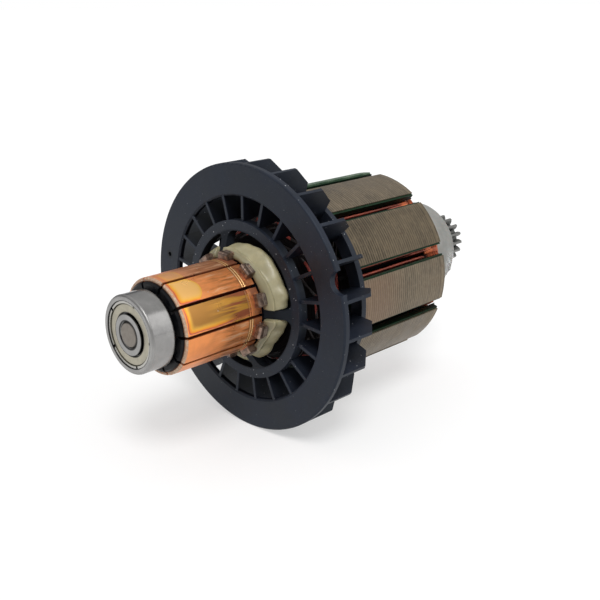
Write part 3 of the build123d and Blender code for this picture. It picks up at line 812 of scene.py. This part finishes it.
def subdivide(piece):
    """Rounds a piece with a subdivision surface."""
    modifier = piece.modifiers.new("smooth_form", "SUBSURF")
    modifier.levels = modifier.render_levels = 2


def clipped(*values):
    """The least of the values, kept between 0 and 1."""
    return max(0.0, min(1.0, *values))


def lump(x, radius, angle, scale, seed):
    """Smooth noise from -1 to 1 at a point round the shaft."""
    return noise.noise(around(x, radius, angle) / MM * scale + Vector((seed, 0.0, 0.0)))


# Resin: radii of its crown and front ridge round the shaft, and the fan's arms that it lies between

CROWN = (
    (0, 9.7), (40, 9.9), (58, 9.6), (66, 8.9), (71, 9.1), (84, 9.4), (100, 9.85), (117, 10.3), (128, 10.45),
    (142, 10.35), (155, 10.25), (166, 10.75), (175, 10.15), (185, 10.2), (195, 9.7), (207, 9.3), (220, 9.1), (236, 9.6),
    (249, 9.7), (256, 10.1), (290, 9.9), (330, 10.2), (360, 9.7),
)
RIDGE = (
    (0, 8.9), (89, 8.8), (100, 8.6), (124, 8.55), (136, 8.85), (150, 9.15), (175, 9.3), (183, 9.7), (198, 8.7),
    (215, 8.5), (240, 8.7), (360, 8.9),
)
ARM_ANGLES = (0, 72, 180, 252, 360)
ARM_SIDE = 0.76
BEAD_FRONT, BEAD_BACK, BEAD_FOOT = 17.34, 21.45, 7.6
RIPPLE_END = 18.3


def between(pairs, place):
    """The value at a place on a smooth curve through (place, value) pairs."""
    for (low, first), (high, last) in zip(pairs, pairs[1:]):
        if place <= high:
            share = (place - low) / (high - low)
            share = share * share * (3 - 2 * share)
            return first + (last - first) * share
    return pairs[-1][1]


def resin_section(angle):
    """Outline of the bead at this angle: a steep front band, a ridge, a broad crown and a rounded back."""
    crown, ridge = between(CROWN, angle), between(RIDGE, angle)
    rise = crown - ridge
    return (
        (17.45, 7.5), (17.4, 8.0), (17.58, 0.5 * (8.05 + ridge)), (17.9, ridge - 0.1), (18.02, ridge + 0.12),
        (18.14, ridge + 0.2), (18.28, ridge + 0.12), (18.42, ridge + 0.05 + 0.06 * rise), (18.9, ridge + 0.48 * rise),
        (19.5, ridge + 0.86 * rise), (20.0, crown), (20.55, crown - 0.16), (21.0, crown - 0.75),
        (21.35, crown - 1.45), (21.3, 7.85), (20.6, 7.5), (19.0, 7.5),
    )


def flowed(x, radius, angle, near_end, swell):
    """A point of the bead, swollen by its lumps, rippled over each bar and sunk towards its ends."""
    if radius <= BEAD_FOOT:
        return around(x, radius, angle)
    rise = swell * lump(x, radius, angle, 0.42, 3.0)
    rise += 0.22 * swell * lump(x, radius, angle, 1.0, 9.0)
    drop = 0.22 * exp(-near_end / 2.0) * (radius - 7.5) / 2.7
    push = 0.5 * swell * lump(x, radius, angle, 0.6, 21.0)
    ripple = 0.14 * cos(radians((angle - 18) * BAR_COUNT)) if x < RIPPLE_END else 0.0
    return around(min(max(x + push + ripple, BEAD_FRONT), BEAD_BACK), radius + rise - drop, angle)


class ARMATURE_OT_resin(bpy.types.Operator):
    """Flowed resin between the fan's arms, over the wire ends"""
    bl_idname = "armature.resin"
    bl_label = "Flowed Resin"

    def execute(self, context):
        material = flowed_resin()
        swell = sizes().resin_lumps / MM
        for bead, (first, last) in enumerate(zip(ARM_ANGLES, ARM_ANGLES[1:])):
            span = last - first
            count = int(span / 2.0)
            rings = []
            for step in range(count + 1):
                share = step / count
                near_end = min(share, 1 - share) * span
                ring = []
                for x, radius in resin_section(first + span * share):
                    edge = degrees(asin(ARM_SIDE / radius))
                    ring.append(flowed(x, radius, first + edge + (span - 2 * edge) * share, near_end, swell))
                rings.append(ring)
            piece = new_piece(f"resin_flow_{bead + 1}", skinned(rings), material, ROTOR)
            subdivide(piece)
            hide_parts(f"resin_bead_{bead + 1}")
        return {"FINISHED"}


# Commutator

class ARMATURE_OT_commutator(bpy.types.Operator):
    """Finish of the copper bars and of the moulding that carries them"""
    bl_idname = "armature.commutator"
    bl_label = "Commutator"

    def execute(self, context):
        paint(run_in_copper(), *[f"commutator_bar_{n + 1}" for n in range(BAR_COUNT)])
        paint(black_moulding(), "commutator_moulding")
        return {"FINISHED"}


HOOK_OUTLINE = (
    (16.95, 7.62), (16.85, 8.35), (17.0, 8.72), (17.3, 8.62), (17.48, 8.74), (17.78, 8.66), (17.95, 8.2), (17.9, 7.62),
)
HOOK_STEPS = (-0.96, -0.87, -0.45, 0.0, 0.45, 0.87, 0.96)
HOOK_MIDDLE = 8.1


class ARMATURE_OT_hook_ends(bpy.types.Operator):
    """Fused hook end behind each bar, squeezed over its wire and split by a groove"""
    bl_idname = "armature.hook_ends"
    bl_label = "Fused Hook Ends"

    def execute(self, context):
        material = burnt_copper()
        for bar in range(BAR_COUNT):
            middle = (bar + 0.5) * 360 / BAR_COUNT
            rings = []
            for across in HOOK_STEPS:
                pinch = 0.86 if abs(across) > 0.9 else 1.0
                ring = []
                for x, radius in HOOK_OUTLINE:
                    squeeze = HOOK_MIDDLE + (radius - HOOK_MIDDLE) * pinch
                    shift = 0.1 * noise.noise(Vector((x, across * 1.4, bar * 3.7)))
                    angle = middle + degrees(asin(across / squeeze))
                    ring.append(around(x + shift, squeeze + shift, angle))
                rings.append(ring)
            subdivide(new_piece(f"fused_hook_{bar + 1}", skinned(rings), material, ROTOR))
        return {"FINISHED"}


# Bearing, shaft and pinion

class ARMATURE_OT_steel_parts(bpy.types.Operator):
    """Finishes of the bearing, the shaft and the pinion"""
    bl_idname = "armature.steel_parts"
    bl_label = "Bearing, Shaft and Pinion"

    def execute(self, context):
        paint(ground_steel(), "bearing_outer_ring", "bearing_inner_ring")
        paint(shield_sheet(), "bearing_front_shield", "bearing_rear_shield", "bearing_cage")
        paint(shaft_end_steel(), "shaft")
        paint(cut_steel(), "pinion")
        paint(bright_balls(), *[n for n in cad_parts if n.startswith("bearing_ball_")])
        return {"FINISHED"}


# Fan and core

class ARMATURE_OT_fan(bpy.types.Operator):
    """Finish of the fan"""
    bl_idname = "armature.fan"
    bl_label = "Fan"

    def execute(self, context):
        paint(dusty_fan_plastic(), "fan")
        return {"FINISHED"}


class ARMATURE_OT_core(bpy.types.Operator):
    """Finishes of the laminations and of their insulating coat"""
    bl_idname = "armature.core"
    bl_label = "Core"

    def execute(self, context):
        paint(turned_laminations("turned_laminations", 1.0, 0.527), "core_laminations")
        paint(turned_laminations("turned_end_lamination", 1.15, 0.9), "rear_end_lamination")
        paint(baked_green_coat(), "core_insulation_coat")
        return {"FINISHED"}


# Winding: slopes of the ends, crossing wires behind a slot, and each slot's strands as (sideways place, rank)

REAR_SLOPE = ((51.9, 14.0), (52.7, 13.6), (53.2, 13.2), (53.8, 12.85), (54.6, 12.6), (55.4, 12.3), (57.0, 11.4))
FRONT_SLOPE = ((31.4, 14.0), (30.8, 13.6), (29.2, 12.62), (27.6, 12.15), (26.0, 11.52), (24.4, 10.3), (23.0, 8.9))
CROSSINGS = (
    (50.65, 13.22), (51.02, 13.24), (51.4, 13.24), (51.77, 13.2), (52.15, 13.15), (52.52, 13.05),
    (52.92, 12.98), (53.35, 12.88), (53.85, 12.78), (54.4, 12.64), (54.95, 12.44),
)
SWEEP_REACH, SWEEP_STEPS = 74.0, 12
FALL_ANGLE = 13.0
DIVE_SHARE, DIVE_DEPTH = 0.3, 1.2
SLOT_TOP, RANK_STEP, SINK = 14.14, 0.11, 0.75
RUN_PLACES = (31.6, 33.5, 38.0, 42.0, 45.5, 48.3, 51.5)
STRANDS = ((-0.72, 0), (-0.4, 1), (-1.02, 2), (-1.34, 3), (0.55, 0), (0.88, 1), (1.22, 2), (1.56, 3))


def on_slope(slope, share):
    """The point a share of the way down a slope of (x, radius) points."""
    place = clipped(share) * (len(slope) - 1)
    first = min(int(place), len(slope) - 2)
    part = place - first
    (x0, r0), (x1, r1) = slope[first], slope[first + 1]
    return x0 + (x1 - x0) * part, r0 + (r1 - r0) * part


def end_sweep(slope, across, middle, turn, level, seed):
    """Path of a wire that leaves its slot, sweeps round the end and dives under the next coil."""
    path = []
    for step in range(1, SWEEP_STEPS + 1):
        sweep = SWEEP_REACH * (step / SWEEP_STEPS) ** 1.25
        share = level * (1 - exp(-sweep / FALL_ANGLE)) / (1 - exp(-SWEEP_REACH / FALL_ANGLE))
        x, radius = on_slope(slope, share)
        dive = DIVE_DEPTH * max(0.0, sweep - (1 - DIVE_SHARE) * SWEEP_REACH) / (DIVE_SHARE * SWEEP_REACH)
        jitter = 0.06 * noise.noise(Vector((x, seed * 1.3, middle)))
        path.append((x, radius - dive + jitter, middle + degrees(across / radius) + turn * sweep))
    return path


def crossing(x, radius, middle):
    """Path of a wire that crosses behind a slot, from one bundle to the next."""
    half_turn, slant, arch = 11.0, 0.15, 0.18
    parts = [step / 4 - 1 for step in range(9)]
    return [(x - slant * part, radius + arch * (1 - part * part), middle + half_turn * part) for part in parts]


def turn_back(across, rank, middle):
    """Path of a wire that bends aside at the end of its slot and dives under the crossing wires."""
    start = degrees(across / 14.0)
    low = 0.08 * rank
    return [
        (49.2, 13.95 - low, middle + start + 0.4), (50.0, 13.75 - low, middle + 0.6 * start + 3.2),
        (50.7, 13.55, middle + 7.4 + 0.3 * rank), (51.4, 13.35, middle + 9.0 + 0.3 * rank), (52.3, 13.0, middle + 11.5),
    ]


def slot_run(across, rank, middle, seed):
    """Path of a wire along its slot: the first one on top, the others rising towards the rear."""
    path = []
    for x in RUN_PLACES:
        sunk = 0.0 if rank == 0 else 1 - clipped((x - 41.0) / 8.0)
        radius = SLOT_TOP - RANK_STEP * rank - SINK * sunk + 0.04 * noise.noise(Vector((x * 0.2, seed, middle)))
        side = across + 0.07 * noise.noise(Vector((x * 0.3, seed * 1.9, middle)))
        path.append((x, radius, middle + degrees(side / radius)))
    return path


class ARMATURE_OT_winding(bpy.types.Operator):
    """Top layer of the wires: along each slot and sweeping over both ends, above the wound body"""
    bl_idname = "armature.winding"
    bl_label = "Winding"

    def execute(self, context):
        paint(deep_winding(), "armature_winding")
        curve = bpy.data.curves.new("top_wires", "CURVE")
        curve.dimensions = "3D"
        curve.bevel_depth = sizes().wire_diameter / 2
        curve.bevel_resolution = 1
        curve.use_fill_caps = True
        curve.resolution_u = 3
        for slot in range(SLOT_COUNT):
            middle = (slot + 0.5) * 360 / SLOT_COUNT
            routes = [crossing(x, radius, middle) for x, radius in CROSSINGS]
            for across, rank in STRANDS:
                side = 1 if across > 0 else -1
                seed = 2.3 * rank + side
                level = 0.64 - 0.085 * rank if side > 0 else 0.42 + 0.16 * rank
                front = end_sweep(FRONT_SLOPE, across, middle, side, level, seed + 9)
                run = slot_run(across, rank, middle, seed)
                if side > 0:
                    routes.append(front[::-1] + run[:-1] + turn_back(across, rank, middle))
                else:
                    routes.append(front[::-1] + run + end_sweep(REAR_SLOPE, across, middle, side, level, seed))
            for points in routes:
                spline = curve.splines.new("NURBS")
                spline.points.add(len(points) - 1)
                for point, (x, radius, angle) in zip(spline.points, points):
                    point.co = (*around(x, radius, angle), 1.0)
                spline.use_endpoint_u = True
                spline.order_u = 3
        rough = add_object("top_wires_route", curve)
        context.view_layer.update()
        mesh = bpy.data.meshes.new_from_object(rough.evaluated_get(context.evaluated_depsgraph_get()))
        bpy.data.objects.remove(rough)
        bm = bmesh.new()
        bm.from_mesh(mesh)
        new_piece("top_wires", bm, enamelled_wire(), ROTOR)
        return {"FINISHED"}


# Collar: its outline, and where its edge is worn

COLLAR_OUTLINE = (
    (58.32, 2.55), (58.32, 9.7), (58.45, 9.95), (59.2, 9.82), (60.6, 9.52), (62.0, 9.2), (63.2, 8.94), (64.2, 8.7),
    (64.9, 8.55), (65.4, 8.42), (65.75, 8.22), (65.95, 7.9), (65.98, 7.2), (65.98, 5.2), (65.98, 2.55),
)
WORN_FROM, WORN_TO, WORN_FADE = 168, 246, 20
WORN_FRONT = 61.6


class ARMATURE_OT_collar(bpy.types.Operator):
    """End collar with its chipped lower edge"""
    bl_idname = "armature.collar"
    bl_label = "End Collar"

    def execute(self, context):
        chips = sizes().collar_chips / MM
        rings = []
        for x, radius in COLLAR_OUTLINE:
            ring = []
            for step in range(180):
                angle = 2.0 * step
                worn = clipped((angle - WORN_FROM) / WORN_FADE, (WORN_TO - angle) / WORN_FADE)
                edge = clipped((x - WORN_FRONT) / 2.0) if radius > 5.5 else 0.0
                grit = lump(x, radius, angle, 1.1, 5.0) + 0.7 * lump(x, radius, angle, 2.6, 11.0) - 0.3
                rough = chips * worn * edge * grit
                sag = 0.03 * lump(x, radius, angle, 0.3, 7.0) if radius > 3 else 0.0
                ring.append(around(x, radius + rough + sag, angle))
            rings.append(ring)
        bm = skinned(rings, closed=True)
        piece = new_piece("chipped_collar", bm, rough_collar_plastic(), ROTOR)
        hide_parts("end_collar")
        return {"FINISHED"}


# Stage

class ARMATURE_OT_studio(bpy.types.Operator):
    """Pale floor, soft light and the camera"""
    bl_idname = "armature.studio"
    bl_label = "Studio"

    def execute(self, context):
        scene = context.scene
        studio = scene.armature_studio
        scene.view_settings.view_transform = "Standard"

        material, tree, shader = new_material("pale_floor")
        paper = made(tree, "TexCoord", result="Object").cloud(40.0, 4.0)
        feed_all(tree, shader.inputs, {
            "Base Color": paper.blend((0.5, 0.5, 0.5), (0.52, 0.52, 0.52)),
            "Roughness": 0.9,
            "Specular IOR Level": 0.0,
        })
        rays = fields(tree, put(tree, "LightPath").outputs)
        seen = rays["Is Camera Ray"].calc("MAXIMUM", rays["Is Glossy Ray"])
        glow = put(tree, "Emission", {"Color": (1.0, 1.0, 1.0, 1.0), "Strength": seen * 0.5})
        both = put(tree, "AddShader", {0: shader.outputs[0], 1: glow.outputs[0]})
        output = next(n for n in tree.nodes if n.type == "OUTPUT_MATERIAL")
        tree.links.new(both.outputs[0], output.inputs["Surface"])

        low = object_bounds()[0]
        sides, reaches = 64, (0.02, 0.3, 1.5, 6.0)
        bm = bmesh.new()
        turns = [2 * pi * step / sides for step in range(sides)]
        layers = [[bm.verts.new((reach * cos(turn), reach * sin(turn), 0.0)) for turn in turns] for reach in reaches]
        bm.faces.new(layers[0])
        for inner, outer in zip(layers, layers[1:]):
            for i in range(sides):
                bm.faces.new((inner[i], inner[i - 1], outer[i - 1], outer[i]))
        floor = add_mesh("floor", bm, material)
        floor.location = (0.036, 0.0, low.z)
        floor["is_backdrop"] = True

        # Sky: bright above and darker towards the horizon, and plain white for the camera
        world = bpy.data.worlds.new("studio_sky")
        world.use_nodes = True
        scene.world = world
        tree = world.node_tree
        tree.nodes.clear()
        up = made(tree, "TexCoord", result="Generated").parts()[2]
        soft = up.fade(-0.1, 1.0).ramp([
            (0.0, (0.6, 0.6, 0.61)), (0.16, (0.26, 0.26, 0.28)), (0.36, (0.8, 0.8, 0.8)),
            (1.0, (1.35, 1.35, 1.35))])
        light = put(tree, "Background", {"Color": soft, "Strength": studio.sky_level})
        white = put(tree, "Background", {"Color": (1.0, 1.0, 1.0, 1.0), "Strength": 1.0})
        rays = put(tree, "LightPath").outputs
        pick = put(tree, "MixShader", {0: rays["Is Camera Ray"], 1: light.outputs[0], 2: white.outputs[0]})
        output = tree.nodes.new("ShaderNodeOutputWorld")
        tree.links.new(pick.outputs[0], output.inputs["Surface"])

        # Broad soft lamps: one high over the left shoulder, one weaker from the right
        for name, direction, strength, spread in (
            ("key_lamp", Vector((-0.35, -0.45, 0.82)), studio.key_level, 22.0),
            ("fill_lamp", Vector((0.55, -0.75, 0.45)), 0.35 * studio.key_level, 50.0),
        ):
            lamp = bpy.data.lights.new(name, "SUN")
            lamp.energy = strength
            lamp.angle = radians(spread)
            add_object(name, lamp).rotation_euler = direction.to_track_quat("Z", "Y").to_euler()

        camera = bpy.data.cameras.new("camera")
        camera.lens = studio.lens
        camera.sensor_width = 36.0
        camera.clip_start = 1.0 * MM
        scene.camera = add_object("camera", camera)
        right = Vector((0.70407, -0.71009, -0.00888))
        above = Vector((0.23102, 0.21721, 0.9484))
        ahead = Vector((0.67151, 0.66979, -0.31698))
        turn = Matrix((right, above, -ahead)).transposed().to_4x4()
        scene.camera.matrix_world = Matrix.Translation(Vector((-71.22, -103.99, 46.03)) * MM) @ turn
        return {"FINISHED"}


OPERATORS = (
    ARMATURE_OT_steel_parts,
    ARMATURE_OT_commutator,
    ARMATURE_OT_hook_ends,
    ARMATURE_OT_resin,
    ARMATURE_OT_fan,
    ARMATURE_OT_core,
    ARMATURE_OT_winding,
    ARMATURE_OT_collar,
    ARMATURE_OT_studio,
)


class ARMATURE_PT_pieces(bpy.types.Panel):
    """Pieces and settings of the armature"""
    bl_idname = "ARMATURE_PT_pieces"
    bl_label = "Motor Armature"
    bl_space_type = "VIEW_3D"
    bl_region_type = "UI"
    bl_category = "Armature"

    def draw(self, context):
        for group in SETTINGS:
            settings = getattr(context.scene, group)
            column = self.layout.column()
            for name in settings.bl_rna.properties.keys():
                if name not in ("rna_type", "name"):
                    column.prop(settings, name)
        for operator in OPERATORS:
            self.layout.operator(operator.bl_idname)


SETTINGS = {
    "armature_sizes": ArmatureSizes,
    "armature_colours": ArmatureColours,
    "armature_studio": ArmatureStudio,
}


REGISTERED = (*SETTINGS.values(), *OPERATORS, ARMATURE_PT_pieces)


def register():
    for shown in REGISTERED:
        bpy.utils.register_class(shown)
    for name, group in SETTINGS.items():
        setattr(bpy.types.Scene, name, bpy.props.PointerProperty(type=group))


def unregister():
    for name in SETTINGS:
        delattr(bpy.types.Scene, name)
    for shown in reversed(REGISTERED):
        bpy.utils.unregister_class(shown)


def main():
    register()
    for operator in OPERATORS:
        family, name = operator.bl_idname.split(".")
        getattr(getattr(bpy.ops, family), name)()


if __name__ == "__main__":
    main()
